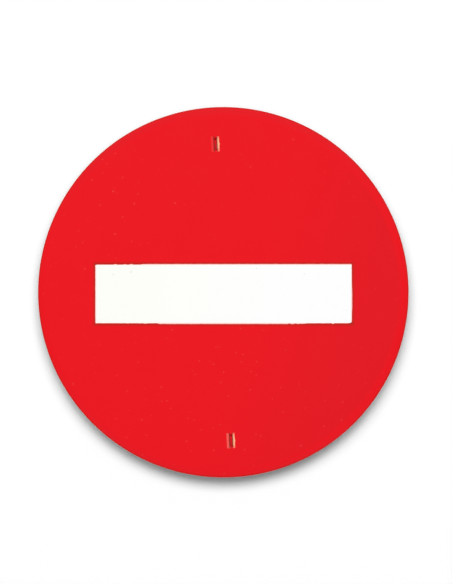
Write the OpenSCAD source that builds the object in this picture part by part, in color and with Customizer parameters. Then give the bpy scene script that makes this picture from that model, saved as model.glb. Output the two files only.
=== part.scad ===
// Round no-entry sign: a white plastic disc, printed red round a bare white bar.
// Two strap bridges moulded into the disc, above and below the bar, hold it to a post.
// The origin is on the disc's axis, in the plane of the bridges' backs, where the post lies.
// The printed face looks along -Y, the post stands behind at +Y, and +Z is up.

/* [Disc] */
// Outer diameter of the disc
disc_d = 600; // [440:10:900]
// Thickness of the sheet and of the bridges
sheet_t = 3; // [2:0.25:4]
// Width of the outer band that curves back
rim_w = 16; // [8:1:24]
// How far the edge lies behind the flat face
rim_fall = 1.6; // [0.8:0.1:2.4]
// Rounding of the edge at the front
edge_r = 0.5; // [0.2:0.1:0.8]

/* [Strap bridges] */
// Distance from the disc's edge in to the middle of a bridge
bridge_inset = 60; // [45:1:90]
// Turn of the line through both bridges away from upright
bridge_turn = 3; // [0:0.5:6]
// Width of a bridge, between its two slits
bridge_w = 4; // [3:0.5:8]
// Length of the slits
slit_len = 24; // [22:1:34]
// Clear gap between a bridge and the slit's wall
slit_gap = 0.6; // [0.3:0.1:1.5]
// Rounding of the slits' long edges at the front
slit_edge_r = 2.6; // [1:0.2:3.6]
// Room for the strap, between the back of the disc and the front of a bridge
strap_room = 1.6; // [1:0.1:2.2]
// Flat run at each end of a bridge before it bends back
bridge_land = 0.2; // [0.1:0.1:1]
// Inner radius of the bends in a bridge
bend_r = 0.8; // [0.6:0.1:1.6]
// Slope of a bridge's two ends
bend_angle = 60; // [45:5:65]

/* [Print] */
// Thickness of the red print
print_t = 0.15; // [0.1:0.05:0.25]
// How far the opening in the print reaches past the slits' rounded edges
side_margin = 0.7; // [0.1:0.1:1.5]
// How far the opening in the print reaches past the slits' ends
end_margin = 0.2; // [0.1:0.1:0.6]
// Distance from the disc's edge in to the bar's ends
bar_inset = 92; // [60:2:120]
// Height of the bar
bar_h = 95.5; // [60:0.5:140]
// How far the bar's middle lies below the disc's
bar_drop = 2.7; // [0:0.1:6]
// Rounding of the bar's lower corners
bar_corner_r = 2; // [0.5:0.1:4]
// Angle over which the print laps round the left edge of the upper slits
upper_lap = 55; // [20:5:80]
// Angle over which the print laps round the left edge of the lower slits
lower_lap = 40; // [20:5:80]

/* [Stencil faults] */
// How much wider the bar is along most of its top
top_step = 1; // [0.2:0.1:2]
// Distance from the bar's left end to that wide stretch
top_step_at = 68; // [40:1:90]
// How much wider the bar is along the middle of its bottom
bottom_step = 1.2; // [0.2:0.1:2]
// Distance from the bar's left end to that wide stretch
bottom_step_at = 100; // [40:1:120]
// Distance from that wide stretch to the bar's right end
bottom_step_end = 74; // [40:1:120]
// How far the bar's right end bulges
end_bulge = 0.7; // [0.2:0.1:1.5]
// Length of the bulge
end_bulge_len = 54; // [20:1:60]
// How far the bulge's middle lies below the bar's
end_bulge_drop = 9; // [0:0.5:12]
// Depth of a nick in the print
nick_depth = 0.8; // [0.2:0.1:1.5]
// Length of a nick in the print
nick_len = 4.5; // [2:0.1:8]

/* [Hidden] */
$fn = 180;

// Heights run from the plane of the bridges' backs towards the front
bridge_front = sheet_t;
disc_back = bridge_front + strap_room;
disc_front = disc_back + sheet_t;
disc_r = disc_d / 2;
bridge_r = disc_r - bridge_inset;

// The rim's arc starts level with the flat face and falls by rim_fall over rim_w
flat_r = disc_r - rim_w;
crown_r = (rim_w * rim_w + rim_fall * rim_fall) / (2 * rim_fall);
crown_angle = asin(rim_w / crown_r);
print_angle = crown_angle - asin(edge_r / (crown_r - edge_r));

// A slit's wall stays straight for at least this far at the back
wall_land = 0.4;
lip_r = min(slit_edge_r, sheet_t - wall_land);
lip_at = bridge_w / 2 + slit_gap + lip_r;

// Each end of a bridge is two bends with a straight slope between them
outer_bend_r = bend_r + sheet_t;
bends_fall = (bend_r + outer_bend_r) * (1 - cos(bend_angle));
slope_len = (disc_front - bridge_front - bends_fall) / sin(bend_angle);
end_run = bridge_land + (bend_r + outer_bend_r) * sin(bend_angle) + slope_len * cos(bend_angle);

// A rounding reaches this far past the flat or slope it runs into, and is cut off there
seam = 0.002;
// How far the ends of a bridge, and the print's flaps, run on over the disc
overlap = 2;

bar_len = disc_d - 2 * bar_inset;
// Length over which a wide stretch of the bar comes in
step_ramp = 6;
// Nicks along the bar: distance in from an end, -1 left or 1 right end, 0 top or 1 bottom edge
NICKS = [[32, -1, 0], [49, -1, 0], [58, -1, 0], [81, -1, 1], [32, 1, 1]];

// How far a cutting shape reaches past what it cuts
past = 1;

// Part of a ring about the origin, from straight up round towards +X
module ring_sector(inner_r, outer_r, angle) {
    reach = 2 * outer_r;
    intersection() {
        difference() {
            circle(r = outer_r);
            circle(r = inner_r);
        }
        polygon([[0, 0], [0, reach], [reach * sin(angle), reach * cos(angle)]]);
    }
}

// A shallow round bump on the line of X, as long and as high as asked
module bump(length, height) {
    bump_r = (length * length / 4 + height * height) / (2 * height);
    intersection() {
        translate([0, height - bump_r]) circle(r = bump_r);
        translate([-length / 2, -past]) square([length, height + 2 * past]);
    }
}

// Turns a section of radius and height about the disc's axis
module spun() {
    rotate([90, 0, 0]) rotate_extrude() children();
}

// Stands a section of width and height upright, along the slits
module along_slits() {
    mirror([0, 1, 0]) linear_extrude(height = slit_len, center = true) children();
}

// Stands a section of length and height upright, across the bridge
module across_bridge() {
    mirror([0, 1, 0]) rotate([0, -90, 0])
        linear_extrude(height = bridge_w, center = true) children();
}

// Lifts a shape drawn on the face, as deep as a cut through the print needs
module face_cut() {
    translate([0, -disc_front, 0]) rotate([90, 0, 0])
        linear_extrude(height = 2 * (print_t + past), center = true) children();
}

// Moves a shape drawn round the origin to the upper bridge, side 1, or the lower one, side -1
module at_bridge(side) {
    translate([0, 0, side * bridge_r]) children();
}

// Turns the disc, with the line through both bridges, away from upright
module turned() {
    rotate([0, -bridge_turn, 0]) children();
}

// Section of a layer of the disc between two heights over its front, out to an angle of the rim
module disc_section(low, high, angle) {
    translate([0, disc_front + low]) square([flat_r, high - low]);
    translate([flat_r, disc_front - crown_r])
        ring_sector(crown_r + low, crown_r + high, angle);
}

// Section of the sheet, with the rounded edge outside the print
module sheet_section() {
    disc_section(-sheet_t, 0, print_angle);
    translate([flat_r, disc_front - crown_r]) {
        ring_sector(crown_r - sheet_t, crown_r - edge_r, crown_angle);
        rotate(-print_angle) translate([0, crown_r - edge_r]) circle(r = edge_r, $fn = 48);
    }
}

// Section of the sheet at the right edge of the slot, raised by height
module lip_section(height) {
    intersection() {
        translate([0, -past]) square([lip_at + overlap, disc_front + height + past]);
        union() {
            translate([lip_at, disc_front - lip_r + seam]) circle(r = lip_r + height);
            translate([lip_at, -past]) square([overlap, disc_front + height + past]);
        }
    }
}

// Section of the slot for a bridge, its two long edges rounded at the front
module slot_section() {
    difference() {
        translate([-lip_at, disc_back - past]) square([2 * lip_at, sheet_t + 2 * past]);
        for (side = [0, 1]) mirror([side, 0]) {
            lip_section(0);
            translate([lip_at - lip_r + seam, 0]) square([lip_r, disc_front - lip_r]);
        }
    }
}

// Section of the print that laps round the right edge of the slot, down to an angle
module lap_section(angle) {
    reach = 2 * (lip_r + print_t);
    intersection() {
        difference() {
            lip_section(print_t);
            lip_section(0);
        }
        translate([lip_at, disc_front - lip_r])
            polygon([[0, 0], [-reach * sin(angle), reach * cos(angle)], [0, reach],
                     [overlap, reach], [overlap, 0]]);
    }
}

// All that lies behind the left half of a bridge's front, raised by height, from the slit's end
module behind_bridge_end(height) {
    facing = [sin(bend_angle), cos(bend_angle)];
    crest = [bridge_land, disc_front - outer_bend_r];
    foot = [end_run, bridge_front + bend_r];
    low = -outer_bend_r;
    half = slit_len / 2 + past;
    translate([0, low]) square([half, bridge_front + height - low]);
    intersection() {
        translate([-overlap, low]) square([half + overlap, disc_front + height - low]);
        union() {
            translate([-overlap, low]) square([overlap + crest[0], disc_front + height - low]);
            translate(crest + [0, seam]) circle(r = outer_bend_r + height);
            difference() {
                polygon([crest, crest + (outer_bend_r + height - seam) * facing,
                         foot - (bend_r - height - seam) * facing,
                         [foot[0], bridge_front + height], [foot[0], low], [crest[0], low]]);
                translate(foot - [0, seam]) circle(r = bend_r - height);
            }
        }
    }
}

// A whole bridge, as a layer that goes depth behind its front and height over it
module bridge_section(depth, height) {
    for (side = [0, 1]) mirror([side, 0]) translate([-slit_len / 2, 0]) difference() {
        behind_bridge_end(height);
        behind_bridge_end(-depth);
    }
}

// A stretch, from one place to another along X, that comes in over a ramp
module wide_stretch(from, to, height) {
    polygon([[from, -past], [from, 0], [from + step_ramp, height], [to, height], [to, -past]]);
}

// The bar as the stencil left it, round its own middle
module bar_outline() {
    half_len = bar_len / 2;
    translate([-half_len, bar_corner_r - bar_h / 2]) square([bar_len, bar_h - bar_corner_r]);
    translate([bar_corner_r - half_len, -bar_h / 2]) square([bar_len - 2 * bar_corner_r, bar_h]);
    for (side = [-1, 1])
        translate([side * (half_len - bar_corner_r), bar_corner_r - bar_h / 2])
            circle(r = bar_corner_r, $fn = 48);
    translate([0, bar_h / 2]) wide_stretch(top_step_at - half_len, half_len, top_step);
    translate([0, -bar_h / 2]) mirror([0, 1])
        wide_stretch(bottom_step_at - half_len, half_len - bottom_step_end, bottom_step);
    translate([half_len, -end_bulge_drop]) rotate(-90) bump(end_bulge_len, end_bulge);
    for (nick = NICKS)
        mirror([0, nick[2]]) translate([nick[1] * (half_len - nick[0]), bar_h / 2])
            bump(nick_len, nick_depth);
}

// The opening in the print round a pair of slits, with a nick halfway up on the right
module mouth_outline() {
    square([2 * (lip_at + side_margin), slit_len + 2 * end_margin], center = true);
    translate([lip_at + side_margin, 0]) rotate(-90) bump(nick_len, nick_depth);
}

// White disc with both bridges moulded in
module sign_disc() {
    color("ivory") turned() {
        difference() {
            spun() sheet_section();
            for (side = [-1, 1]) at_bridge(side) along_slits() slot_section();
        }
        for (side = [-1, 1]) at_bridge(side) across_bridge() bridge_section(sheet_t, 0);
    }
}

// Red print over the face, round the slits' left edges and over the fronts of the bridges
module red_print() {
    color("crimson") difference() {
        turned() {
            difference() {
                spun() disc_section(0, print_t, print_angle);
                for (side = [-1, 1]) at_bridge(side) face_cut() mouth_outline();
            }
            for (side = [-1, 1]) at_bridge(side) {
                along_slits() mirror([1, 0]) lap_section(side > 0 ? upper_lap : lower_lap);
                across_bridge() bridge_section(0, print_t);
            }
        }
        translate([0, 0, -bar_drop]) face_cut() bar_outline();
    }
}

sign_disc();
red_print();
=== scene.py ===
import logging
import math
from collections.abc import Iterable
from dataclasses import dataclass, field
from enum import Enum

import bmesh
import bpy
import numpy as np
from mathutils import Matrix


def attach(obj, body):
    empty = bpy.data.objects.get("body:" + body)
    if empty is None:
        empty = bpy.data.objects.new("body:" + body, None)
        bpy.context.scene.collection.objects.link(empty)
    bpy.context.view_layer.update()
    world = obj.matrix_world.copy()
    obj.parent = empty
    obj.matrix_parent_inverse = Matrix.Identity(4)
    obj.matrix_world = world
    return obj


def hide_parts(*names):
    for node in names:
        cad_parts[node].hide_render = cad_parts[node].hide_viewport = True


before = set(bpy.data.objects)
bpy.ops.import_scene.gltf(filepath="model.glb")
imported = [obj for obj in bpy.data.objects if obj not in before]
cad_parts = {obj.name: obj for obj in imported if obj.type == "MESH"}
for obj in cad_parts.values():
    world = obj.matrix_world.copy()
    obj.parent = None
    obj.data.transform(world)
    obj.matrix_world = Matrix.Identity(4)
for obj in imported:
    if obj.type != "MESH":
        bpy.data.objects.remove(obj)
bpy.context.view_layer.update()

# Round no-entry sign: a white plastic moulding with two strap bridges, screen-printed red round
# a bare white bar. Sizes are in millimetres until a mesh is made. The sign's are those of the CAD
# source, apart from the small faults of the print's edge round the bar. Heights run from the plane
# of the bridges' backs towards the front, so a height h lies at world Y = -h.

MM = 0.001
LOG = logging.getLogger("no_entry_sign")
Pair = tuple[float, float]
Triple = tuple[float, float, float]
Colour = tuple[float, float, float, float]
Tree = bpy.types.NodeTree
Socket = bpy.types.NodeSocket

# Shares of a wall that is one face high
WALL = np.array((0.0, 1.0))


class Slot(Enum):
    """The record's material slots."""

    WHITE = "white_sheet"
    RED = "red_ink"


class Bridge(Enum):
    """The two strap bridges, by the side of the bar they lie on."""

    UPPER = 1
    LOWER = -1


class Join(Enum):
    """How shares from 0 to 1 are brought together."""

    ALL = "MULTIPLY"
    ANY = "MAXIMUM"


# Geometry: sections, loops and the surfaces between them


def arc(centre: Pair, radius: float, start: float, stop: float, count: int) -> np.ndarray:
    """Points on a circle of a section, at centre + radius * (sin a, cos a).

    Args:
        centre: centre of the circle, across and up.
        radius: radius of the circle.
        start: first angle in degrees, from straight up round towards the right.
        stop: last angle in degrees.
        count: number of points.

    Returns:
        An array of count rows and two columns.
    """
    a = np.radians(np.linspace(start, stop, count))
    return np.stack([centre[0] + radius * np.sin(a), centre[1] + radius * np.cos(a)], axis=1)


def steps(*stops: float, counts: Iterable[int]) -> np.ndarray:
    """Values that run through the stops, with an even count of steps in each stretch.

    Args:
        stops: the values where one stretch ends and the next begins.
        counts: number of steps in each stretch.

    Returns:
        One row of values, the first and last stop included.
    """
    runs = [np.linspace(a, b, n + 1)[:-1] for a, b, n in zip(stops, stops[1:], counts)]
    return np.concatenate([*runs, stops[-1:]])


def turned(flat: np.ndarray, degrees: float) -> np.ndarray:
    """Points turned about the disc's middle: (x cos a - z sin a, x sin a + z cos a).

    Args:
        flat: across and up of each point.
        degrees: the angle, from the right round towards the top.

    Returns:
        As many points.
    """
    a = math.radians(degrees)
    x, z = flat[:, 0], flat[:, 1]
    return np.stack([x * math.cos(a) - z * math.sin(a), x * math.sin(a) + z * math.cos(a)], axis=1)


def on_face(flat: np.ndarray, height: float) -> np.ndarray:
    """Points drawn on the face, laid at a height over the bridges' backs: (across, -height, up).

    Args:
        flat: across and up of each point.
        height: the height.

    Returns:
        As many points in space.
    """
    return np.stack([flat[:, 0], np.full(len(flat), -height), flat[:, 1]], axis=1)


def between(first: np.ndarray, second: np.ndarray, shares: np.ndarray) -> np.ndarray:
    """A ruled surface: first + share * (second - first), point by point along two lines.

    Args:
        first: points of the first line, one row each.
        second: as many points of the second line.
        shares: how far each row of the surface lies towards the second line, from 0 to 1.

    Returns:
        A grid of points, one row for each share.
    """
    return first[None] + shares[:, None, None] * (second - first)[None]


def revolved(profile: np.ndarray, angles: np.ndarray) -> np.ndarray:
    """A profile of radius and height turned about the disc's axis: (r sin a, -h, r cos a).

    Args:
        profile: radius and height of each point.
        angles: angles in radians, from straight up round towards the right.

    Returns:
        A grid of points, one row for each point of the profile.
    """
    radius, height = profile[:, 0, None], profile[:, 1, None]
    flat = np.ones_like(angles)[None]
    return np.stack([radius * np.sin(angles), -height * flat, radius * np.cos(angles)], axis=-1)


def drawn_out(profile: np.ndarray, places: np.ndarray) -> np.ndarray:
    """A profile of width and height carried straight up: (width, -height, place).

    Args:
        profile: width and height of each point, or one such profile for each place.
        places: heights up the face at which the profile stands.

    Returns:
        A grid of points, one row for each place.
    """
    lines = np.broadcast_to(profile, (len(places), *profile.shape[-2:]))
    up = np.broadcast_to(places[:, None], lines.shape[:2])
    return np.stack([lines[..., 0], -lines[..., 1], up], axis=-1)


@dataclass
class Shell:
    """A surface put together from grids, whose edges meet point for point.

    Attributes:
        turn: angle in degrees by which the finished shell is turned about the disc's axis.
        crease: angle in degrees past which an edge stays sharp.
        weld: distance in metres within which corner points become one.
        sliver: length in metres under which an edge is taken out.
        corners: corner points gathered so far.
        quads: faces gathered so far, as indices into the corners.
        count: number of corner points gathered so far.
    """

    turn: float = 0.0
    crease: float = 32.0
    weld: float = 2e-6
    sliver: float = 1e-7
    corners: list[np.ndarray] = field(default_factory=list)
    quads: list[np.ndarray] = field(default_factory=list)
    count: int = 0

    def add(self, *grids: np.ndarray) -> None:
        """Adds grids of points, each with a face in every gap between four of its points.

        Args:
            grids: the grids, each of rows, columns and three numbers a point.
        """
        for grid in grids:
            rows, cols = grid.shape[:2]
            index = self.count + np.arange(rows * cols).reshape(rows, cols)
            around = (index[:-1, :-1], index[:-1, 1:], index[1:, 1:], index[1:, :-1])
            self.corners.append(grid.reshape(-1, 3))
            self.quads.append(np.stack(around, axis=-1).reshape(-1, 4))
            self.count += rows * cols

    def make(self, name: str, closed: bool = True) -> bpy.types.Object:
        """Makes the shell an object, merged along its seams and shaded smooth but at creases.

        Args:
            name: name of the piece.
            closed: whether the shell has an inside, so that its faces are to point outwards.

        Returns:
            The object, at the origin.
        """
        points = np.concatenate(self.corners)
        points[:, [0, 2]] = turned(points[:, [0, 2]], self.turn)
        mesh = bpy.data.meshes.new(name)
        mesh.from_pydata((points * MM).tolist(), [], np.concatenate(self.quads).tolist())
        work = bmesh.new()
        work.from_mesh(mesh)
        bmesh.ops.remove_doubles(work, verts=work.verts, dist=self.weld)
        bmesh.ops.dissolve_degenerate(work, edges=work.edges, dist=self.sliver)
        if closed:
            bmesh.ops.recalc_face_normals(work, faces=work.faces)
        work.to_mesh(mesh)
        work.free()
        mesh.shade_smooth()
        mesh.set_sharp_from_angle(angle=math.radians(self.crease))
        made = bpy.data.objects.new(name, mesh)
        bpy.context.scene.collection.objects.link(made)
        return made


# The sign


@dataclass(frozen=True)
class Sizes:
    """Sizes that the moulding and the print share.

    Attributes:
        disc_r: radius of the disc.
        sheet: thickness of the plastic.
        rim_w: width of the outer band that curves back.
        rim_fall: how far that band curves back.
        edge_r: rounding of the disc's front edge.
        bridge_at: distance of each bridge's middle from the disc's.
        bridge_turn: angle in degrees between upright and the line through both bridges.
        bridge_half: half a bridge's width.
        slit_half: half a slit's length.
        slit_gap: width of a slit behind its rounded edge.
        lip_r: rounding of a slit's front edge.
        strap_room: depth of the room between a bridge's front and the disc's back.
        land: length of the flat at each end of a bridge, before its first bend.
        bend_r: inner radius of a bridge's bends.
        bend_angle: angle in degrees of each bend.
        ink: thickness of the print.
        bend_points: number of points along a bend and along the rim's curve.
    """

    disc_r: float = 300.0
    sheet: float = 3.0
    rim_w: float = 16.0
    rim_fall: float = 1.6
    edge_r: float = 0.5
    bridge_at: float = 240.0
    bridge_turn: float = 3.0
    bridge_half: float = 2.0
    slit_half: float = 12.0
    slit_gap: float = 0.6
    lip_r: float = 2.6
    strap_room: float = 1.6
    land: float = 0.2
    bend_r: float = 0.8
    bend_angle: float = 60.0
    ink: float = 0.15
    bend_points: int = 13

    @property
    def back(self) -> float:
        """Height of the disc's back."""
        return self.sheet + self.strap_room

    @property
    def front(self) -> float:
        """Height of the disc's front."""
        return self.back + self.sheet

    @property
    def flat_r(self) -> float:
        """Radius at which the rim begins to curve back."""
        return self.disc_r - self.rim_w

    @property
    def crown_r(self) -> float:
        """Radius of the rim's curve: width squared plus fall squared, over twice the fall."""
        return (self.rim_w**2 + self.rim_fall**2) / (2 * self.rim_fall)

    @property
    def crown(self) -> Pair:
        """Centre of the rim's curve, as radius and height."""
        return self.flat_r, self.front - self.crown_r

    @property
    def crown_angle(self) -> float:
        """Angle over which the rim curves back, in degrees."""
        return math.degrees(math.asin(self.rim_w / self.crown_r))

    @property
    def print_angle(self) -> float:
        """Angle of the rim at which the print stops and the rounded edge begins."""
        return self.crown_angle - math.degrees(math.asin(self.edge_r / (self.crown_r - self.edge_r)))

    @property
    def lip_at(self) -> float:
        """Distance from a bridge's middle to where the slit's rounded edge begins."""
        return self.bridge_half + self.slit_gap + self.lip_r

    def on_crown(self, angle: float, radius: float) -> Pair:
        """The point at an angle in degrees and a radius from the centre of the rim's curve."""
        a = math.radians(angle)
        return self.crown[0] + radius * math.sin(a), self.crown[1] + radius * math.cos(a)

    def lip(self, raised: float, stop: float, count: int) -> np.ndarray:
        """Section of a slit's right edge from its top down: an arc of radius lip_r + raised.

        Args:
            raised: height over the bare plastic.
            stop: angle in degrees at which the line stops.
            count: number of points.

        Returns:
            Width and height of each point.
        """
        return arc((self.lip_at, self.front - self.lip_r), self.lip_r + raised, 0, -stop, count)

    def bridge_line(self, raised: float, reach: float) -> np.ndarray:
        """Section along a bridge: a bend down, a slope, a bend out, a flat, and the same back up.

        Both bends turn by the same angle. Together they fall by the sum of their radii times one
        less its cosine, and the slope between them, as steep as that angle, falls the rest.

        Args:
            raised: height over the bridge's front; minus the thickness gives its back.
            reach: how far the line runs to each side of the bridge's middle.

        Returns:
            Place along the bridge and height of each point, from one end to the other.
        """
        outer = self.bend_r + self.sheet
        angle = math.radians(self.bend_angle)
        fall = (self.bend_r + outer) * (1 - math.cos(angle))
        slope = (self.front - self.sheet - fall) / math.sin(angle)
        run = (self.bend_r + outer) * math.sin(angle) + self.land + slope * math.cos(angle)
        top = (self.land - self.slit_half, self.front - outer)
        low = (run - self.slit_half, self.sheet + self.bend_r)
        crest = arc(top, outer + raised, 0, self.bend_angle, self.bend_points)
        foot = arc(low, self.bend_r - raised, 180 + self.bend_angle, 180, self.bend_points)
        half = np.concatenate([[[-reach, self.front + raised]], crest, foot])
        return np.concatenate([half, half[::-1] * (-1, 1)])


@dataclass(frozen=True)
class Face:
    """The flat of the disc, laid out in patches that leave a hole for each pair of slits.

    A collar runs round between the bar and the slits. Outside it the face is a ring, and round
    each pair of slits a sector of that ring is stretched between its own edge and the hole's.

    Attributes:
        sizes: the sign's sizes.
        around: number of steps round the whole face.
        rows: number of steps across the ring, and along a slit.
        margin: number of steps across from a hole's side to the bridge's.
        strip: number of steps across a bridge.
        hole_rows: number of steps from a hole's edge to its sector's.
        crowding: power that draws those steps together at the hole.
        collar_r: radius of the collar.
    """

    sizes: Sizes
    around: int = 768
    rows: int = 16
    margin: int = 6
    strip: int = 20
    hole_rows: int = 6
    crowding: float = 1.4
    collar_r: float = 220.5

    @property
    def angles(self) -> np.ndarray:
        """Angles of the steps round the face, in radians, the first one again at the end."""
        return np.linspace(0, 2 * math.pi, self.around + 1)

    @property
    def sector(self) -> int:
        """Number of steps from a hole's middle to the edge of its sector."""
        return self.margin + self.strip // 2

    def hole(self, half_width: float, ends: np.ndarray, right: np.ndarray) -> np.ndarray:
        """A hole's edge, from its inner left corner round by the right.

        The left side stands half the width out, and the right side that and its own bulge, place
        by place. The ends run straight across at the first and the last place.

        Args:
            half_width: distance from the hole's middle to its sides.
            ends: places along the sides, from the inner end to the outer one.
            right: how far the right side stands out at each of those places.

        Returns:
            Across and along of each point, the first one again at the end.
        """
        half = self.sizes.bridge_half
        across = steps(-half_width, -half, half, half_width, counts=(self.margin, self.strip, self.margin))
        inner = np.stack([across, np.full_like(across, ends[0])], axis=1)
        right_side = np.stack([half_width + right, ends], axis=1)
        outer = np.stack([across[::-1], np.full_like(across, ends[-1])], axis=1)
        left_side = np.stack([np.full_like(ends, -half_width), ends[::-1]], axis=1)
        return np.concatenate([inner, right_side[1:], outer[1:], left_side[1:]])

    def patches(self, height: float, hole: np.ndarray) -> list[np.ndarray]:
        """Grids of the ring at a height, with a hole for each bridge.

        Away from the holes the ring is a row of radii turned about the axis. Round a hole it is
        ruled from the hole's edge to the sector's, which has two arcs and two straight sides.

        Args:
            height: height of the surface.
            hole: a hole's edge, as across and along from the bridge's middle.

        Returns:
            The grids, which meet point for point.
        """
        radii = np.linspace(self.collar_r, self.sizes.flat_r, self.rows + 1)
        side, half_turn = self.sector, self.around // 2
        grids = []
        for first in (side, half_turn + side):
            turn = self.angles[first : first + half_turn - 2 * side + 1]
            grids.append(revolved(np.stack([radii, np.full_like(radii, height)], axis=1), turn))
        swing = self.angles[side]
        degrees = math.degrees(swing)
        inner = arc((0, 0), radii[0], -degrees, degrees, 2 * side + 1)
        outer = arc((0, 0), radii[-1], degrees, -degrees, 2 * side + 1)
        edge = np.stack([radii * math.sin(swing), radii * math.cos(swing)], axis=1)
        sector = np.concatenate([inner, edge[1:], outer[1:], (edge[::-1] * (-1, 1))[1:]])
        shares = np.linspace(0, 1, self.hole_rows + 1) ** self.crowding
        for bridge in Bridge:
            sign = (1, bridge.value)
            near = on_face((hole + (0, self.sizes.bridge_at)) * sign, height)
            grids.append(between(near, on_face(sector * sign, height), shares))
        return grids

    def ribbon(self, shell: Shell, bridge: Bridge, heights: Pair, reach: float, shares: np.ndarray) -> None:
        """Adds a strip that follows a bridge: its front, its back and the walls at its two sides.

        Front and back are the bridge's line carried across its width, and each wall is ruled from
        the one to the other.

        Args:
            shell: the shell to add it to.
            bridge: the bridge it follows.
            heights: how high its front and its back lie over the bridge's front.
            reach: how far it runs to each side of the bridge's middle.
            shares: how far each row of its walls lies towards the back, from 0 to 1.
        """
        s = self.sizes
        sign = (1, 1, bridge.value)
        lines = []
        for raised in heights:
            line = s.bridge_line(raised, reach)
            lines.append(np.stack([np.zeros(len(line)), -line[:, 1], line[:, 0] + s.bridge_at], axis=1))
        across = np.linspace(-s.bridge_half, s.bridge_half, self.strip + 1)
        for line in lines:
            shell.add((line[None] + across[:, None, None] * (1, 0, 0)) * sign)
        for x in (-s.bridge_half, s.bridge_half):
            shell.add(between(lines[0] + (x, 0, 0), lines[1] + (x, 0, 0), shares) * sign)


@dataclass
class Moulding:
    """The white disc with both bridges moulded in.

    Attributes:
        sizes: the sign's sizes.
        face: how the flat is laid out.
        back_edge: rounding of the edge at the back.
        inner_rings: radii of the rings inside the collar, from the middle out.
        lip_points: number of points down a slit's rounded edge.
        edge_points: number of points round the front edge, and along the back of the rim.
        back_points: number of points round the back edge.
    """

    sizes: Sizes
    face: Face
    back_edge: float = 0.3
    inner_rings: tuple[float, ...] = (0.0, 70.0, 150.0)
    lip_points: int = 12
    edge_points: int = 9
    back_points: int = 6

    def along(self) -> np.ndarray:
        """Places along a slit."""
        return np.linspace(-self.sizes.slit_half, self.sizes.slit_half, self.face.rows + 1)

    def rim_line(self) -> np.ndarray:
        """Section of the rim: out along the curve, round the edge, down the wall and back.

        Returns:
            Radius and height of each point.
        """
        s = self.sizes
        back_r = s.crown_r - s.sheet
        inside = s.crown_angle - math.degrees(self.back_edge / back_r)
        wall = 90 + s.crown_angle
        front_edge = s.on_crown(s.print_angle, s.crown_r - s.edge_r)
        back_edge = s.on_crown(inside, back_r + self.back_edge)
        runs = [
            arc(s.crown, s.crown_r, 0, s.print_angle, s.bend_points),
            arc(front_edge, s.edge_r, s.print_angle, wall, self.edge_points)[1:],
            arc(back_edge, self.back_edge, wall, 90 + wall, self.back_points),
            arc(s.crown, back_r, inside, 0, self.edge_points)[1:],
        ]
        return np.concatenate(runs)

    def slits(self, shell: Shell, bridge: Bridge) -> None:
        """Adds the walls of a pair of slits and the bridge between them.

        A slit's outer wall is the section of its edge carried along it. Its end walls are ruled
        from there straight across to the bridge's side.

        Args:
            shell: the shell to add them to.
            bridge: the bridge between them.
        """
        s, face = self.sizes, self.face
        sign = (1, 1, bridge.value)
        wall = np.concatenate([s.lip(0, 90, self.lip_points), [[s.lip_at - s.lip_r, s.back]]])
        shares = np.linspace(0, 1, face.margin + 1)
        for mirror in (1, -1):
            side = drawn_out(wall * (mirror, 1), self.along()) + (0, 0, s.bridge_at)
            shell.add(side * sign)
            for outside in (side[0], side[-1]):
                inside = outside * (0, 1, 1) + (mirror * s.bridge_half, 0, 0)
                shell.add(between(outside, inside, shares) * sign)
        # The bridge's walls have their rows where the slits' ends have them, so that no seam gapes
        down = (s.front - wall[:, 1]) / s.sheet
        face.ribbon(shell, bridge, (0.0, -s.sheet), s.slit_half, down)

    def make(self) -> bpy.types.Object:
        """Builds the moulding.

        Front and back are flats of one plan at two heights. The rim's section, turned about the
        axis, joins them outside, and the walls of the slits join them inside.

        Returns:
            The piece.
        """
        s, face = self.sizes, self.face
        shell = Shell(s.bridge_turn)
        along = self.along()
        for height, width in ((s.front, s.lip_at), (s.back, s.lip_at - s.lip_r)):
            shell.add(*face.patches(height, face.hole(width, along, np.zeros_like(along))))
            middle = np.array([(radius, height) for radius in (*self.inner_rings, face.collar_r)])
            shell.add(revolved(middle, face.angles))
        shell.add(revolved(self.rim_line(), face.angles))
        for bridge in Bridge:
            self.slits(shell, bridge)
        return shell.make("moulded_disc")

    def dress(self, piece: bpy.types.Object) -> None:
        """Gives the moulding its plastic, once it is made, and lets it stand for the CAD's disc."""
        finish_piece(piece, MouldedPolypropylene().make(), "sign_disc")


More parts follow.
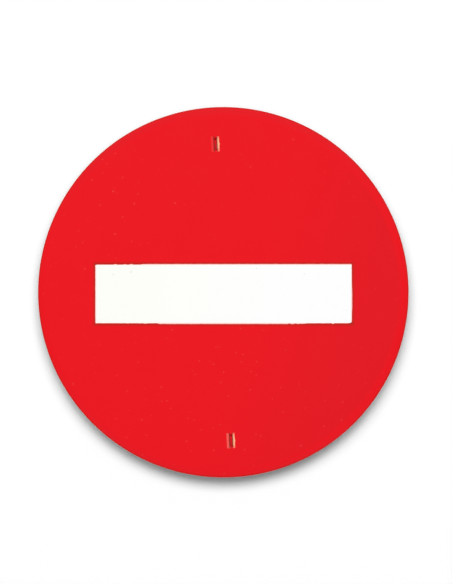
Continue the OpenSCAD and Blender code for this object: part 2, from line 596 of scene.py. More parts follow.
@dataclass
class Bar:
    """The outline of the bare white bar, as the stencil left it.

    The outline has 2 * (long_steps + short_steps) steps, as many as the face has round it.

    Attributes:
        half_len: half the bar's length.
        half_height: half its height.
        drop: how far its middle lies below the disc's.
        corner_r: rounding of its lower corners.
        bleed: how far the ink crept past the stencil's edge, into the bar.
        left_in: how much further it crept at the left end.
        fray: how far the edge strays at random.
        wide_top: where along the top edge the bar is wider, from and to, and by how much.
        wide_bottom: the same along the bottom edge.
        ease: length over which it gets wider.
        bow: middle, half length and depth of the right end's bow.
        long_steps: number of steps along the top and the bottom edge.
        short_steps: number of steps up each end.
        edge_seed: seed of the stray of the long edges.
        end_seed: seed of the stray of the ends.
        bumps: edge (1 top, -1 bottom), place along it, length and height of each small fault.
    """

    half_len: float = 208.0
    half_height: float = 47.75
    drop: float = 2.7
    corner_r: float = 2.0
    bleed: float = 0.4
    left_in: float = 0.65
    fray: float = 0.07
    wide_top: Triple = (-135.0, 400.0, 1.05)
    wide_bottom: Triple = (-108.0, 137.0, 1.2)
    ease: float = 6.0
    bow: Triple = (-9.0, 27.0, 0.7)
    long_steps: int = 328
    short_steps: int = 56
    edge_seed: int = 3
    end_seed: int = 7
    bumps: tuple[tuple[int, float, float, float], ...] = (
        (1, -174.2, 5.5, 1.05),
        (1, -159.2, 4.5, 0.8),
        (1, -148.8, 6.0, 1.05),
        (-1, -125.4, 8.0, 0.75),
        (-1, -154.0, 3.5, 0.4),
        (-1, -135.6, 3.5, 0.4),
        (-1, 177.4, 4.5, 1.1),
        (-1, 106.8, 5.0, -0.9),
        (-1, 116.6, 5.0, -0.9),
        (-1, 128.0, 16.0, -0.4),
    )

    def strays(self, count: int, seed: int) -> np.ndarray:
        """Seeded noise along an edge: the mean of three neighbouring random steps.

        Args:
            count: number of points.
            seed: seed of the noise.

        Returns:
            How far each point strays.
        """
        # Three steps average out to about 1/1.7 of one
        noise = np.random.default_rng(seed).normal(0.0, self.fray * 1.7, count + 2)
        return np.convolve(noise, np.full(3, 1 / 3), mode="valid")

    def edge(self, x: np.ndarray, side: int) -> np.ndarray:
        """How far the top or bottom edge lies from the bar's middle at each place along it.

        That is half the height less the bleed, plus the wide stretch with both its ends eased, the
        stray, and a parabola of its own length and height for each bump. A quarter round comes off
        at each lower corner.

        Args:
            x: places along the edge.
            side: 1 for the top edge and -1 for the bottom one.

        Returns:
            The distance at each place.
        """
        start, stop, extra = self.wide_top if side > 0 else self.wide_bottom
        wide = np.clip((x - start) / self.ease, 0, 1) * np.clip((stop - x) / self.ease, 0, 1) * extra
        out = self.half_height - self.bleed + wide + self.strays(len(x), self.edge_seed - side)
        for where, place, length, height in self.bumps:
            if where == side:
                out += height * np.clip(1 - ((x - place) / (length / 2)) ** 2, 0, None)
        if side < 0:
            inset = np.clip(self.corner_r - (self.half_len - self.bleed - np.abs(x)), 0, self.corner_r)
            out -= self.corner_r - np.sqrt(np.clip(self.corner_r**2 - inset**2, 0, None))
        return out

    def end(self, z: np.ndarray, side: int) -> np.ndarray:
        """How far the left or right end lies from the bar's middle at each height.

        That is half the length less the bleed, plus the stray. The right end adds a parabola as
        long and as deep as the bow, and the left end lies further in.

        Args:
            z: heights up the end.
            side: 1 for the right end and -1 for the left one.

        Returns:
            The distance at each height.
        """
        middle, reach, depth = self.bow
        out = depth * np.clip(1 - ((z - middle) / reach) ** 2, 0, None) if side > 0 else -self.left_in
        return self.half_len - self.bleed + out + self.strays(len(z), self.end_seed - side)

    def outline(self, turn: float) -> np.ndarray:
        """The outline, from the top's middle round by the right, turned to the disc's own frame.

        Its long sides are the edge's distance at each place along, and its short ones the end's
        distance at each height, all of it lowered by the drop.

        Args:
            turn: angle in degrees by which the finished sign is turned.

        Returns:
            Across and up of each point, the first one again at the end.
        """
        half_len, half_height = self.half_len - self.bleed, self.half_height - self.bleed
        x = np.linspace(self.left_in - half_len, half_len, self.long_steps + 1)
        z = np.linspace(-half_height, half_height, self.short_steps + 1)
        top = np.stack([x, self.edge(x, 1)], axis=1)
        bottom = np.stack([x, -self.edge(x, -1)], axis=1)[::-1]
        right = np.stack([self.end(z, 1), z], axis=1)[::-1]
        left = np.stack([-self.end(z, -1), z], axis=1)
        half = self.long_steps // 2
        loop = np.concatenate([top[half:-1], right[:-1], bottom[:-1], left[:-1], top[: half + 1]])
        return turned(loop - (0, self.drop), -turn)


@dataclass
class Print:
    """The red print, a skin over the face, the slits' left edges and the fronts of the bridges.

    Attributes:
        sizes: the sign's sizes.
        face: how the flat is laid out.
        bar: the outline of the bar.
        side_margin: how far the opening round the slits reaches past their rounded edges.
        end_margin: how far it reaches past their ends.
        draw: power that draws the steps along its sides together at the nick.
        nick: length and depth of the nick halfway up the opening's right side.
        laps: angle over which the print laps round the left edge of each bridge's slits.
        lap_stray: how far that angle strays at random.
        lap_seed: seed of that stray.
        lip_points: number of points down the lap.
        rows: number of steps from the bar to the collar.
        crowding: power that draws those steps together at the bar.
    """

    sizes: Sizes
    face: Face
    bar: Bar
    side_margin: float = 0.7
    end_margin: float = 0.2
    draw: float = 1.5
    nick: Pair = (4.5, 0.8)
    laps: dict[Bridge, float] = field(default_factory=lambda: {Bridge.UPPER: 55.0, Bridge.LOWER: 40.0})
    lap_stray: float = 4.0
    lap_seed: int = 20
    lip_points: int = 8
    rows: int = 8
    crowding: float = 1.6

    def along(self) -> np.ndarray:
        """Places along the opening's sides, closer together near the nick.

        Within the slit they are half its length times a power of an even share, to both sides of
        the middle, and one more lies at each end of the opening.

        Returns:
            The places, from the bridge's middle and from the bar's side outwards.
        """
        inner = np.linspace(-1, 1, self.face.rows - 1)
        inner = self.sizes.slit_half * np.sign(inner) * np.abs(inner) ** self.draw
        end = self.sizes.slit_half + self.end_margin
        return np.concatenate([[-end], inner, [end]])

    def flap(self, shell: Shell, bridge: Bridge) -> None:
        """Adds the print on a bridge and the lap round the slit's left edge.

        The lap is the section of the slit's edge carried along it, and stops at an angle of its own
        at each place. Walls are ruled between the edges of its top and its underside.

        Args:
            shell: the shell to add them to.
            bridge: the bridge.
        """
        s = self.sizes
        self.face.ribbon(shell, bridge, (s.ink, 0.0), s.slit_half + self.end_margin, WALL)
        places = self.along()[1:-1] + s.bridge_at
        noise = np.random.default_rng(self.lap_seed + bridge.value)
        stops = self.laps[bridge] + noise.normal(0.0, self.lap_stray, len(places))
        skins = []
        for raised in (s.ink, 0.0):
            lines = np.stack([s.lip(raised, stop, self.lip_points) for stop in stops])
            start = np.broadcast_to((s.lip_at + self.side_margin, s.front + raised), (len(places), 1, 2))
            profiles = np.concatenate([start, lines], axis=1) * (-1, 1)
            skins.append(drawn_out(profiles, places) * (1, 1, bridge.value))
        shell.add(*skins)
        for edge in (np.s_[:, -1], np.s_[0, :], np.s_[-1, :]):
            shell.add(between(skins[0][edge], skins[1][edge], WALL))

    def walled(self, count: int) -> list[np.ndarray]:
        """The runs of an opening's edge that have a wall.

        It has none where the print runs on over the bridge or round the lip.

        Args:
            count: number of points of the opening's edge.

        Returns:
            Indices of the points of each run.
        """
        margin, across = self.face.margin, 2 * self.face.sector
        right_end = across + self.face.rows
        outer_end = right_end + across
        return [
            np.arange(0, margin + 1),
            np.arange(across - margin, right_end + margin + 1),
            np.arange(outer_end - margin, outer_end + 2),
            np.arange(count - 2, count),
        ]

    def make(self) -> bpy.types.Object:
        """Builds the print.

        Top and underside are each the ring with its openings, a surface ruled from the bar's
        outline to the collar, and the rim's curve. Walls are ruled between their edges. The nick
        is a parabola of its own length and depth.

        Returns:
            The piece.
        """
        s, face = self.sizes, self.face
        shell = Shell(s.bridge_turn)
        along = self.along()
        length, depth = self.nick
        bulge = depth * np.clip(1 - (along / (length / 2)) ** 2, 0, None)
        hole = face.hole(s.lip_at + self.side_margin, along, bulge)
        outline = self.bar.outline(s.bridge_turn)
        collar = arc((0, 0), face.collar_r, 0, 360, face.around + 1)
        top, bottom = s.front + s.ink, s.front
        shares = np.linspace(0, 1, self.rows + 1) ** self.crowding
        for height in (top, bottom):
            shell.add(*face.patches(height, hole))
            shell.add(between(on_face(outline, height), on_face(collar, height), shares))
        shell.add(between(on_face(outline, top), on_face(outline, bottom), WALL))
        for bridge in Bridge:
            for run in self.walled(len(hole)):
                edge = (hole[run] + (0, s.bridge_at)) * (1, bridge.value)
                shell.add(between(on_face(edge, top), on_face(edge, bottom), WALL))
            self.flap(shell, bridge)
        over = arc(s.crown, s.crown_r + s.ink, 0, s.print_angle, s.bend_points)
        under = arc(s.crown, s.crown_r, s.print_angle, 0, s.bend_points)
        shell.add(revolved(np.concatenate([over, under]), face.angles))
        return shell.make("screen_print")

    def dress(self, piece: bpy.types.Object) -> None:
        """Gives the print its ink, once it is made, and lets it stand for the CAD's print."""
        finish_piece(piece, ScreenInk().make(), "red_print")


# What the finishes are made of


def linear(code: str) -> Colour:
    """Turns an sRGB colour to linear light.

    Args:
        code: the colour in hex, such as "ed1c24".

    Returns:
        Red, green, blue and an alpha of 1.
    """
    shares = np.array([int(code[i : i + 2], 16) for i in (0, 2, 4)]) / 255
    low, high = shares / 12.92, ((shares + 0.055) / 1.055) ** 2.4
    return (*np.where(shares <= 0.04045, low, high).tolist(), 1.0)


def node(
    tree: Tree, kind: str, inputs: dict | None = None, output: int | str = 0, **settings: object
) -> Socket | None:
    """Adds a node with its settings and links.

    Args:
        tree: the node tree to add it to.
        kind: the node's type name without ShaderNode in front.
        inputs: for each input, by name or number, a value or the socket that feeds it.
        output: name or number of the output that is wanted.
        settings: the node's own properties.

    Returns:
        That output, whose node holds the others, or nothing where the node has no output.
    """
    made = tree.nodes.new("ShaderNode" + kind)
    for key, value in settings.items():
        setattr(made, key, value)
    for key, value in (inputs or {}).items():
        if isinstance(value, Socket):
            tree.links.new(value, made.inputs[key])
        else:
            made.inputs[key].default_value = value
    return made.outputs[output] if made.outputs else None


def joined(tree: Tree, how: Join, *shares: Socket) -> Socket:
    """Brings shares together: their product where all are to hold, or the largest of them.

    Args:
        tree: the material's nodes.
        how: which of the two.
        shares: the shares.

    Returns:
        The one share that comes of them.
    """
    found, *others = shares
    for share in others:
        found = node(tree, "Math", {0: found, 1: share}, operation=how.value)
    return found


def coated(tree: Tree, base: Socket | Colour, *coats: tuple[Socket, Socket | Colour]) -> Socket:
    """Lays coats of colour over a base, one after another.

    Args:
        tree: the material's nodes.
        base: the colour underneath.
        coats: how far each coat covers what is below it, and its colour.

    Returns:
        The colour that shows.
    """
    shown = base
    for share, colour in coats:
        shown = node(tree, "Mix", {0: share, 6: shown, 7: colour}, output=2, data_type="RGBA")
    return shown


def at_bridges(tree: Tree, place: Socket) -> tuple[Socket, Socket, Socket, Socket]:
    """How far a place is across and along from the nearer bridge's middle, in the disc's own frame.

    Args:
        tree: the material's nodes.
        place: the place on the object.

    Returns:
        The distance across, less than 0 to the left, and along, less than 0 towards the bar, and
        then the same two without their sign.
    """
    turn = (0.0, math.radians(Sizes.bridge_turn), 0.0)
    own = node(tree, "Mapping", {"Vector": place, "Rotation": turn}, vector_type="POINT")
    across, _, up = node(tree, "SeparateXYZ", {0: own}).node.outputs
    up = node(tree, "Math", {0: up}, operation="ABSOLUTE")
    along = node(tree, "Math", {0: up, 1: Sizes.bridge_at * MM}, operation="SUBTRACT")
    beside, past = (node(tree, "Math", {0: way}, operation="ABSOLUTE") for way in (across, along))
    return across, along, beside, past


@dataclass(frozen=True)
class Fade:
    """A share that changes smoothly along a stretch and stays as it is past both its ends.

    Attributes:
        start: where the stretch starts, and the share there.
        stop: where it stops, and the share there.
        unit: how many metres one unit of the two places is, or 1 where they are plain numbers.
    """

    start: Pair
    stop: Pair
    unit: float = MM

    def share(self, tree: Tree, value: Socket) -> Socket:
        """The share at each value.

        Args:
            tree: the material's nodes.
            value: the value, such as a distance in metres.

        Returns:
            The share.
        """
        spans = {"From Min": self.start[0] * self.unit, "From Max": self.stop[0] * self.unit}
        spans |= {"To Min": self.start[1], "To Max": self.stop[1]}
        return node(tree, "MapRange", {"Value": value, **spans}, interpolation_type="SMOOTHSTEP")


@dataclass(frozen=True)
class BarBox:
    """The bar's outline as a plain box, for the finishes that follow its edge.

    Attributes:
        middle: the box's middle.
        half: half its size each way; from front to back it goes right through the sign.
    """

    middle: Triple = (0.5, 0.0, -2.7)
    half: Triple = (207.5, 1000.0, 48.2)

    def past(self, tree: Tree, place: Socket) -> Socket:
        """How far a place lies past the box's sides, less than 0 inside it.

        Args:
            tree: the material's nodes.
            place: the place on the object.

        Returns:
            The distance in metres.
        """
        middle, half = (tuple(size * MM for size in sizes) for sizes in (self.middle, self.half))
        off = node(tree, "VectorMath", {0: place, 1: middle}, operation="SUBTRACT")
        off = node(tree, "VectorMath", {0: off}, operation="ABSOLUTE")
        off = node(tree, "VectorMath", {0: off, 1: half}, operation="SUBTRACT")
        x, _, z = node(tree, "SeparateXYZ", {0: off}).node.outputs
        inside = node(tree, "Math", {0: joined(tree, Join.ANY, x, z), 1: 0.0}, operation="MINIMUM")
        corner = node(tree, "VectorMath", {0: off, 1: (0.0, 0.0, 0.0)}, operation="MAXIMUM")
        outside = node(tree, "VectorMath", {0: corner}, output="Value", operation="LENGTH")
        return node(tree, "Math", {0: inside, 1: outside}, operation="ADD")


@dataclass(frozen=True)
class Specks:
    """Small round spots strewn over a surface, one to a cell at most.

    Attributes:
        cell_mm: size of a cell.
        spot_mm: radius of a spot.
        share: share of the cells that hold a spot.
        core: share of its radius over which a spot is at its strongest.
        rarity: power that makes strong spots rarer than weak ones.
    """

    cell_mm: float
    spot_mm: float
    share: float
    core: float = 0.3
    rarity: float = 2.0

    def mask(self, tree: Tree, place: Socket) -> Socket:
        """A share that is 0 between the spots, and in a spot has a strength that varies by cell.

        Args:
            tree: the material's nodes.
            place: the place on the object.

        Returns:
            The share.
        """
        x, _, z = node(tree, "SeparateXYZ", {0: place}).node.outputs
        flat = node(tree, "CombineXYZ", {0: x, 1: z})
        inputs = {"Vector": flat, "Scale": 1 / (self.cell_mm * MM), "Randomness": 1.0}
        cells = node(tree, "TexVoronoi", inputs, voronoi_dimensions="2D").node.outputs
        radius = self.spot_mm / self.cell_mm
        spot = Fade((radius * self.core, 1.0), (radius, 0.0), unit=1.0).share(tree, cells["Distance"])
        # Blue is the one channel of a cell's colour that its spot's place doesn't hang on
        chance = node(tree, "SeparateColor", {"Color": cells["Color"]}, output=2)
        kept = Fade((1 - self.share, 0.0), (1.0, 1.0), unit=1.0).share(tree, chance)
        strength = node(tree, "Math", {0: kept, 1: self.rarity}, operation="POWER")
        return joined(tree, Join.ALL, spot, strength)


@dataclass(frozen=True)
class Spots:
    """Single soft spots at set places on the face.

    Attributes:
        at: place across and up, and strength, of each spot.
        spot_mm: radius of a spot.
        core: share of its radius over which a spot is at its strongest.
    """

    at: tuple[Triple, ...]
    spot_mm: float
    core: float = 0.25

    def mask(self, tree: Tree, place: Socket) -> Socket:
        """A share that is a spot's strength at its middle and 0 away from all of them.

        Args:
            tree: the material's nodes.
            place: the place on the object.

        Returns:
            The share.
        """
        front = -(Sizes().front + Sizes.ink) * MM
        found = []
        for x, z, strength in self.at:
            middle = (x * MM, front, z * MM)
            apart = node(tree, "VectorMath", {0: place, 1: middle}, output="Value", operation="DISTANCE")
            found.append(Fade((self.core * self.spot_mm, strength), (self.spot_mm, 0.0)).share(tree, apart))
        return joined(tree, Join.ANY, *found)


# Finishes


@dataclass(frozen=True)
class Finish:
    """What every finish on the sign has in common.

    Attributes:
        name: the material's name.
        roughness: how matt the surface is.
        ior: index of refraction.
        specular: share of the mirror-like light that the surface gives back.
        grain: width, depth and detail of its fine relief.
        patches: width and detail of the soft patches in which the roughness strays.
        strays: how far the roughness strays to each side.
        swing: values of the patches' noise at which it strays furthest.
        relief: how strongly the relief shows.
    """

    name: str
    roughness: float
    ior: float
    specular: float
    grain: Triple
    patches: Pair
    strays: float = 0.01
    swing: Pair = (0.3, 0.7)
    relief: float = 0.6

    def start(self) -> tuple[bpy.types.Material, Tree, Socket]:
        """Makes an empty material.

        Returns:
            The material, its nodes and the place on the object.
        """
        made = bpy.data.materials.new(self.name)
        made.use_nodes = True
        made.node_tree.nodes.clear()
        return made, made.node_tree, node(made.node_tree, "TexCoord", output="Object")

    def close(self, tree: Tree, place: Socket, colour: Socket) -> None:
        """Adds the relief, the patches of the roughness, the shader and the output.

        Args:
            tree: the material's nodes.
            place: the place on the object.
            colour: the surface's colour.
        """
        width, depth, detail = self.grain
        grain = node(tree, "TexNoise", {"Vector": place, "Scale": 1 / (width * MM), "Detail": detail})
        bump = node(tree, "Bump", {"Height": grain, "Strength": self.relief, "Distance": depth * MM})
        width, detail = self.patches
        patches = node(tree, "TexNoise", {"Vector": place, "Scale": 1 / (width * MM), "Detail": detail})
        smoothest = (self.swing[0], self.roughness - self.strays)
        roughest = (self.swing[1], self.roughness + self.strays)
        inputs = {
            "Base Color": colour,
            "Roughness": Fade(smoothest, roughest, unit=1.0).share(tree, patches),
            "IOR": self.ior,
            "Specular IOR Level": self.specular,
            "Normal": bump,
        }
        node(tree, "OutputMaterial", {"Surface": node(tree, "BsdfPrincipled", inputs)})


@dataclass(frozen=True)
class MouldedPolypropylene(Finish):
    """White polypropylene, injection moulded.

    It gives the eye a faintly warm white with a fine satin grain, a few grey specks of dirt, and
    a yellowed cream on the rounded edges of the slits, where nothing covers it.

    Attributes:
        warm: its white towards the left.
        plain: its white towards the right.
        dirt: dirt on it.
        haze: white with a breath of ink on it.
        cream: bare slit edge.
        blush: slit edge near its ends, with red light from the print on it.
        stain: slit edge to the left, where ink has run down it.
        bar: the bar's outline.
        towards_right: where across the sign the plain white takes over.
        dirt_specks: small specks of dirt.
        smudges: the two soft smudges at the bar's upper left.
        haze_band: how the haze grows along the bar's edge.
        haze_over: height over which it lies.
        lip_beside: how far across from a bridge's middle the bare slit edges reach.
        lip_past: how far along from it they reach.
        lip_over: height over which they lie.
        lip_blush: how the blush grows along them.
        stained_left: how far left of a bridge's middle the stain begins.
    """

    name: str = "Injection-moulded white polypropylene"
    roughness: float = 0.5
    ior: float = 1.49
    specular: float = 0.3
    # A real moulded grain is under 0.1 mm wide and too fine to show, so it is drawn coarser
    grain: Triple = (0.7, 0.03, 3.0)
    patches: Pair = (45.0, 2.0)
    warm: str = "fefef8"
    plain: str = "fefefe"
    dirt: str = "bcbcb6"
    haze: str = "ff8c76"
    cream: str = "ffb488"
    blush: str = "ff7c66"
    stain: str = "d8483c"
    bar: BarBox = BarBox()
    towards_right: Fade = Fade((-200.0, 0.0), (120.0, 1.0))
    # Real specks are a few tenths of a millimetre across, and are drawn wider so that they show
    dirt_specks: Specks = Specks(cell_mm=62.0, spot_mm=0.9, share=0.25)
    smudges: Spots = Spots(at=((-149.0, 33.0, 0.2), (-178.0, 29.0, 0.12)), spot_mm=3.4)
    haze_band: Fade = Fade((-2.0, 0.0), (-0.6, 0.55))
    haze_over: float = 7.5
    lip_beside: Fade = Fade((6.8, 1.0), (7.4, 0.0))
    lip_past: Fade = Fade((12.5, 1.0), (13.0, 0.0))
    lip_over: float = 4.7
    lip_blush: Fade = Fade((5.0, 0.0), (11.8, 1.0))
    stained_left: float = 2.2

    def lips(self, tree: Tree, place: Socket, y: Socket) -> tuple[Socket, Socket]:
        """The bare rounded edges of the slits.

        Args:
            tree: the material's nodes.
            place: the place on the object.
            y: how far back that place lies.

        Returns:
            Where they are, and their colour.
        """
        across, _, beside, past = at_bridges(tree, place)
        fades = (self.lip_beside.share(tree, beside), self.lip_past.share(tree, past))
        front = node(tree, "Math", {0: y, 1: -self.lip_over * MM}, operation="LESS_THAN")
        blush = (self.lip_blush.share(tree, past), linear(self.blush))
        left = node(tree, "Math", {0: across, 1: -self.stained_left * MM}, operation="LESS_THAN")
        colour = coated(tree, linear(self.cream), blush, (left, linear(self.stain)))
        return joined(tree, Join.ALL, *fades, front), colour

    def make(self) -> bpy.types.Material:
        """Builds the material.

        Returns:
            The material.
        """
        made, tree, place = self.start()
        x, y, _ = node(tree, "SeparateXYZ", {0: place}).node.outputs
        dirt = joined(tree, Join.ANY, self.dirt_specks.mask(tree, place), self.smudges.mask(tree, place))
        face = node(tree, "Math", {0: y, 1: -self.haze_over * MM}, operation="LESS_THAN")
        haze = joined(tree, Join.ALL, self.haze_band.share(tree, self.bar.past(tree, place)), face)
        coats = (
            (self.towards_right.share(tree, x), linear(self.plain)),
            (dirt, linear(self.dirt)),
            (haze, linear(self.haze)),
            self.lips(tree, place, y),
        )
        self.close(tree, place, coated(tree, linear(self.warm), *coats))
        return made


@dataclass(frozen=True)
class ScreenInk(Finish):
    """Red screen-printing ink for plastics, pulled through a mesh.

    It gives the eye a deep, even, almost matt red, painted a little darker to the right as painted shade,
    with a fine orange peel and tiny pinholes where the mesh was blocked, most of them left and low.

    Attributes:
        strong: the red of the left half.
        deep: the darker red of the painted shade, towards the right and on the rim at the top.
        glow: painted light, a brighter red low on the rim.
        darker_edge_red: a darker red along the bar's edge and along the disc's edge.
        thin_ink_and_highlight: pale pink over a slit's left rounded edge, partly ink drawn thin there and
            partly a painted highlight.
        shaded_bridge_red: the darker red of the painted shade on the bridges, sunk behind the face.
        pinhole: a pinhole, with the white showing through.
        bar: the bar's outline.
        lean: how far the side with the painted shade leans, as a share of the height.
        shade_right: where the painted shade takes over, towards the right.
        shade_inside: how far from the axis that holds.
        shade_top: how far up the painted shade on the rim begins.
        shade_rim: how far from the axis it begins.
        glow_low: how far down the painted light on the rim begins.
        glow_rim: how far from the axis it begins.
        bar_edge_dark: how the darker red wanes away from the bar.
        rim_edge_dark: how it grows towards the disc's edge.
        lap_across: where across from a bridge's middle the thin ink and painted highlight begin.
        lap_stop: how far left of that middle it stops.
        lap_past: how far along from it they reach.
        lap_up: how strong they are on the lower and on the upper slits.
        sunk: how far back the painted shade begins.
        shade_beside: how far across from a bridge's middle the painted shade reaches.
        shade_past: how far along from it the painted shade reaches.
        shade_along: how the painted shade wanes from the foot of a bridge to its top.
        pinholes: the pinholes strewn over the print.
        swarms: place across and up, and reach, of each swarm of them.
        swarm_core: share of its reach over which a swarm is at its thickest.
        swarm_share: how clearly they show inside a swarm and away from all of them.
        largest: the ten largest pinholes, at their own places.
    """

    name: str = "Screen-printed red vinyl ink"
    roughness: float = 0.62
    ior: float = 1.5
    specular: float = 0.1
    # The marks of a real mesh are some 0.1 mm apart and too fine to show, so they are drawn coarser
    grain: Triple = (1.1, 0.02, 2.0)
    patches: Pair = (70.0, 3.0)
    strong: str = "ed0b19"
    # Painted shade: a darker red towards the right and on the rim at the top
    deep: str = "e50f1c"
    # Painted light: a brighter red low on the rim
    glow: str = "ed1622"
    # A darker red along the bar's edge and along the disc's edge
    darker_edge_red: str = "c81c14"
    # Pale pink on the slits' left rounded edges: partly ink drawn thin, partly a painted highlight
    thin_ink_and_highlight: str = "ff7468"
    # Painted shade: a darker red on the bridges, sunk behind the face
    shaded_bridge_red: str = "b4141c"
    pinhole: str = "fa6c66"
    bar: BarBox = BarBox()
    lean: float = 0.35
    # Where the painted shade lies, towards the right and on the top of the rim
    shade_right: Fade = Fade((20.0, 0.0), (260.0, 1.0))
    shade_inside: Fade = Fade((282.0, 1.0), (290.0, 0.0))
    shade_top: Fade = Fade((60.0, 0.0), (260.0, 1.0))
    shade_rim: Fade = Fade((284.0, 0.0), (294.0, 1.0))
    # Where the painted light lies, low on the rim
    glow_low: Fade = Fade((-260.0, 1.0), (-60.0, 0.0))
    glow_rim: Fade = Fade((284.0, 0.0), (298.0, 1.0))
    bar_edge_dark: Fade = Fade((1.4, 0.95), (5.3, 0.0))
    rim_edge_dark: Fade = Fade((296.2, 0.0), (298.2, 0.7))
    lap_across: Fade = Fade((-7.8, 0.0), (-6.2, 1.0))
    lap_stop: float = 2.3
    lap_past: Fade = Fade((11.5, 1.0), (12.8, 0.0))
    lap_up: Fade = Fade((-10.0, 0.6), (10.0, 0.17))
    sunk: Fade = Fade((-7.75, 0.0), (-7.4, 1.0))
    shade_beside: float = 2.2
    shade_past: float = 13.5
    shade_along: Fade = Fade((-10.0, 0.97), (9.0, 0.3))
    # Real pinholes are a few tenths of a millimetre across, and are drawn wider so that they show
    pinholes: Specks = Specks(cell_mm=11.0, spot_mm=1.8, share=0.24)
    swarms: tuple[Triple, ...] = ((-30.0, -150.0, 230.0), (-190.0, 150.0, 130.0), (190.0, -210.0, 70.0))
    swarm_core: float = 0.3
    swarm_share: Pair = (0.22, 0.08)
    largest: Spots = Spots(
        at=(
            (-178.0, 163.0, 0.26),
            (-144.0, 143.0, 0.2),
            (-175.0, 94.0, 0.2),
            (-78.0, 144.0, 0.2),
            (125.0, -248.0, 0.2),
            (-243.0, -148.0, 0.16),
            (-224.0, 38.0, 0.16),
            (44.0, 203.0, 0.14),
            (-163.0, 122.0, 0.14),
            (113.0, 247.0, 0.14),
        ),
        spot_mm=2.4,
    )

    def shades(self, tree: Tree, x: Socket, z: Socket, off_axis: Socket) -> tuple[Socket, Socket]:
        """Where the broad painted shade and painted light of the red lie.

        Args:
            tree: the material's nodes.
            x: how far to the right a place lies.
            z: how far up it lies.
            off_axis: how far from the disc's axis it lies.

        Returns:
            Where the red is painted darker as shade, and where it is painted lighter as light on the rim.
        """
        # Painted shade towards the right and on the rim's top; low carries the painted light low on the rim
        slant = node(tree, "Math", {0: z, 1: -self.lean, 2: x}, operation="MULTIPLY_ADD")
        pairs = (
            (self.shade_right, slant, self.shade_inside),
            (self.shade_top, z, self.shade_rim),
            (self.glow_low, z, self.glow_rim),
        )
        right, top, low = (
            joined(tree, Join.ALL, first.share(tree, way), second.share(tree, off_axis))
            for first, way, second in pairs
        )
        return joined(tree, Join.ANY, right, top), low

    def bridges(self, tree: Tree, place: Socket, y: Socket, z: Socket) -> tuple[Socket, Socket]:
        """Where the ink is thin, with a painted highlight, over a slit's left edge, and where painted shade
        lies on a bridge.

        Args:
            tree: the material's nodes.
            place: the place on the object.
            y: how far back that place lies.
            z: how far up it lies.

        Returns:
            The share of thin ink and painted highlight, and the share of painted shade.
        """
        across, along, beside, past = at_bridges(tree, place)
        left = node(tree, "Math", {0: across, 1: -self.lap_stop * MM}, operation="LESS_THAN")
        fades = ((self.lap_across, across), (self.lap_past, past), (self.lap_up, z))
        # Partly thin ink, partly a painted highlight on the left rounded edge
        thin_ink_and_highlight = joined(tree, Join.ALL, left, *(fade.share(tree, way) for fade, way in fades))
        near = node(tree, "Math", {0: beside, 1: self.shade_beside * MM}, operation="LESS_THAN")
        ends = node(tree, "Math", {0: past, 1: self.shade_past * MM}, operation="LESS_THAN")
        # Along runs away from the bar, which is down on the lower bridge
        side = node(tree, "Math", {0: z}, operation="SIGN")
        up = node(tree, "Math", {0: along, 1: side}, operation="MULTIPLY")
        # Painted shade in each bridge's recess, strongest at its lower end
        bridge_shade = joined(tree, Join.ALL, self.sunk.share(tree, y), near, ends, self.shade_along.share(tree, up))
        return thin_ink_and_highlight, bridge_shade

    def holes(self, tree: Tree, place: Socket) -> Socket:
        """Where the pinholes lie.

        Args:
            tree: the material's nodes.
            place: the place on the object.

        Returns:
            The share of white that shows through.
        """
        inside, outside = self.swarm_share
        swarms = []
        for x, z, reach in self.swarms:
            middle = (x * MM, 0.0, z * MM)
            apart = node(tree, "VectorMath", {0: place, 1: middle}, output="Value", operation="DISTANCE")
            swarms.append(Fade((self.swarm_core * reach, inside), (reach, outside)).share(tree, apart))
        crowd = joined(tree, Join.ANY, *swarms)
        strewn = joined(tree, Join.ALL, self.pinholes.mask(tree, place), crowd)
        return joined(tree, Join.ANY, strewn, self.largest.mask(tree, place))

    def make(self) -> bpy.types.Material:
        """Builds the material.

        Returns:
            The material.
        """
        made, tree, place = self.start()
        x, y, z = node(tree, "SeparateXYZ", {0: place}).node.outputs
        off_axis = node(tree, "VectorMath", {0: place}, output="Value", operation="LENGTH")
        shade_share, low = self.shades(tree, x, z, off_axis)
        bar_edge_dark = self.bar_edge_dark.share(tree, self.bar.past(tree, place))
        edge_dark = joined(tree, Join.ANY, bar_edge_dark, self.rim_edge_dark.share(tree, off_axis))
        thin_ink_and_highlight, bridge_shade = self.bridges(tree, place, y, z)
        coats = (
            # Painted shade, towards the right and on the top of the rim
            (shade_share, linear(self.deep)),
            # Painted light, low on the rim
            (low, linear(self.glow)),
            (edge_dark, linear(self.darker_edge_red)),
            # Thin ink and painted highlight on the slits' left edges
            (thin_ink_and_highlight, linear(self.thin_ink_and_highlight)),
            # Painted shade on the bridges
            (bridge_shade, linear(self.shaded_bridge_red)),
            (self.holes(tree, place), linear(self.pinhole)),
        )
        self.close(tree, place, coated(tree, linear(self.strong), *coats))
        return made


# The studio


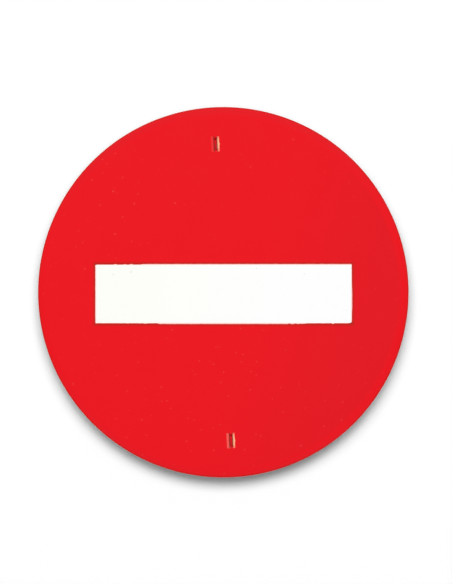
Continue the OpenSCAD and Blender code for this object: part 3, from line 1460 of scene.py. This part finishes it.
@dataclass
class Studio:
    """A pale sweep behind and below the sign, its lamps, and the camera.

    Attributes:
        wall_at: distance of the wall behind the plane of the bridges' backs.
        wall_top: how far the wall rises over the disc's middle.
        floor_at: how far the floor lies below the disc's middle.
        floor_reach: how far the floor comes forward.
        half_width: how far the sweep reaches to each side.
        cove_r: radius of the curve between wall and floor.
        cove_points: number of points along it.
        lamps: name, elevation, azimuth, angular width in degrees and strength of each broad lamp.
        ambient: strength of the light from all round.
        paper_grey: how light the paper is to the light that it throws on the sign.
        paper_tone: how white the paper is where the camera or a mirror sees it.
        px: millimetres to a pixel of the photograph.
        frame_px: height of the photograph in pixels.
        centre_px: where the disc's middle stands from the picture's, right and down.
        distance: distance of the camera.
        sensor: height of the camera's sensor.
        clip: how far the camera sees, in metres.
    """

    wall_at: float = 25.5
    wall_top: float = 1800.0
    floor_at: float = 900.0
    floor_reach: float = 2600.0
    half_width: float = 2200.0
    cove_r: float = 80.0
    cove_points: int = 17
    lamps: tuple[tuple[str, float, float, float, float], ...] = (
        ("key_light_left", 29.0, -13.0, 30.0, 0.88),
        ("key_light_right", 29.0, 11.0, 30.0, 0.88),
        ("front_light", 12.0, -1.0, 60.0, 1.25),
        ("back_light", 40.0, 160.0, 60.0, 3.2),
    )
    ambient: float = 0.12
    paper_grey: str = "505050"
    paper_tone: float = 1.045
    px: float = 1.6197
    frame_px: int = 584
    centre_px: Pair = (-2.65, 0.27)
    distance: float = 3200.0
    sensor: float = 36.0
    clip: float = 50.0

    def sweep(self) -> bpy.types.Object:
        """Wall and floor as one profile carried sideways: straight down, a quarter round, straight out.

        Returns:
            The sweep.
        """
        low = -self.floor_at
        centre = (self.wall_at - self.cove_r, low + self.cove_r)
        bend = arc(centre, self.cove_r, 90, 180, self.cove_points)
        line = np.concatenate([[[self.wall_at, self.wall_top]], bend, [[-self.floor_reach, low]]])
        sides = np.linspace(-self.half_width, self.half_width, 3)
        shell = Shell()
        shell.add(np.insert(line, 0, 0.0, axis=1) + sides[:, None, None] * (1, 0, 0))
        made = shell.make("studio_sweep", closed=False)
        made.data.materials.append(self.paper())
        return made

    def looked_at(self, tree: Tree) -> Socket:
        """Tells what the camera sees, straight or by way of a mirror or a clear thing.

        Args:
            tree: the nodes of a material or of the world.

        Returns:
            1 for such a ray and 0 for any other.
        """
        ray = node(tree, "LightPath").node.outputs
        seen = ("Is Camera Ray", "Is Glossy Ray", "Is Transmission Ray")
        return joined(tree, Join.ANY, *(ray[name] for name in seen))

    def paper(self) -> bpy.types.Material:
        """White paper. It is clear from behind, and lets the back light through to what is seen there.

        Returns:
            The material.
        """
        made = bpy.data.materials.new("White studio paper")
        made.use_nodes = True
        tree = made.node_tree
        tree.nodes.clear()
        bright = (self.paper_tone,) * 3 + (1.0,)
        tone = coated(tree, linear(self.paper_grey), (self.looked_at(tree), bright))
        ray = node(tree, "LightPath").node.outputs
        behind = node(tree, "NewGeometry", output="Backfacing")
        direct = node(tree, "Math", {0: ray["Diffuse Depth"], 1: 0.5}, operation="LESS_THAN")
        seen = joined(tree, Join.ALL, ray["Is Camera Ray"], behind)
        lit = joined(tree, Join.ALL, ray["Is Shadow Ray"], direct)
        white, clear = node(tree, "BsdfDiffuse", {"Color": tone}), node(tree, "BsdfTransparent")
        mix = node(tree, "MixShader", {0: joined(tree, Join.ANY, seen, lit), 1: white, 2: clear})
        node(tree, "OutputMaterial", {"Surface": mix})
        return made

    def sun(self, name: str, elevation: float, azimuth: float, width: float, strength: float) -> None:
        """Hangs a broad soft lamp.

        Args:
            name: name of the lamp.
            elevation: how high over the horizon it shines from, in degrees.
            azimuth: how far to the right it shines from, in degrees.
            width: how wide it looks from the sign, in degrees.
            strength: its strength.
        """
        lamp = bpy.data.lights.new(name, "SUN")
        lamp.angle, lamp.energy = math.radians(width), strength
        made = bpy.data.objects.new(name, lamp)
        made.rotation_euler = (math.radians(90 - elevation), 0, math.radians(azimuth))
        bpy.context.scene.collection.objects.link(made)

    def air(self) -> None:
        """Light from all round, and a white background where the camera sees past the sweep."""
        world = bpy.data.worlds.new("Studio air")
        world.use_nodes = True
        tree = world.node_tree
        tree.nodes.clear()
        inputs = {"Value": self.looked_at(tree), "To Min": self.ambient, "To Max": 1.0}
        white = {"Color": (1.0, 1.0, 1.0, 1.0), "Strength": node(tree, "MapRange", inputs)}
        node(tree, "OutputWorld", {"Surface": node(tree, "Background", white)})
        bpy.context.scene.world = world

    def camera(self) -> None:
        """A long lens straight in front, aimed so that the disc stands where the photograph has it."""
        lens = bpy.data.cameras.new("front_camera")
        lens.sensor_width = self.sensor
        lens.lens = self.sensor * self.distance / (self.frame_px * self.px)
        lens.clip_end = self.clip
        made = bpy.data.objects.new("front_camera", lens)
        aside, down = self.centre_px
        made.location = (-aside * self.px * MM, -self.distance * MM, down * self.px * MM)
        made.rotation_euler = (math.radians(90), 0, 0)
        bpy.context.scene.collection.objects.link(made)
        bpy.context.scene.camera = made

    def make(self) -> None:
        """Sets up the whole studio."""
        self.camera()
        self.sweep()
        for lamp in self.lamps:
            self.sun(*lamp)
        self.air()
        bpy.context.scene.view_settings.view_transform = "Standard"


def finish_piece(piece: bpy.types.Object, finish: bpy.types.Material, cad_node: str) -> None:
    """Gives a piece its finish, lets it ride on the root and hides the CAD node it stands for.

    Args:
        piece: the new piece.
        finish: its material.
        cad_node: name of the CAD node.
    """
    piece.data.materials.append(finish)
    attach(piece, "root")
    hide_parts(cad_node)
    LOG.info("%s: %d faces, stands for %s", piece.name, len(piece.data.polygons), cad_node)


def main() -> None:
    """Builds the sign and its studio."""
    logging.basicConfig(level=logging.INFO, format="%(message)s")
    sizes = Sizes()
    face = Face(sizes)
    Studio().make()
    for part in (Moulding(sizes, face), Print(sizes, face, Bar())):
        part.dress(part.make())


if __name__ == "__main__":
    main()
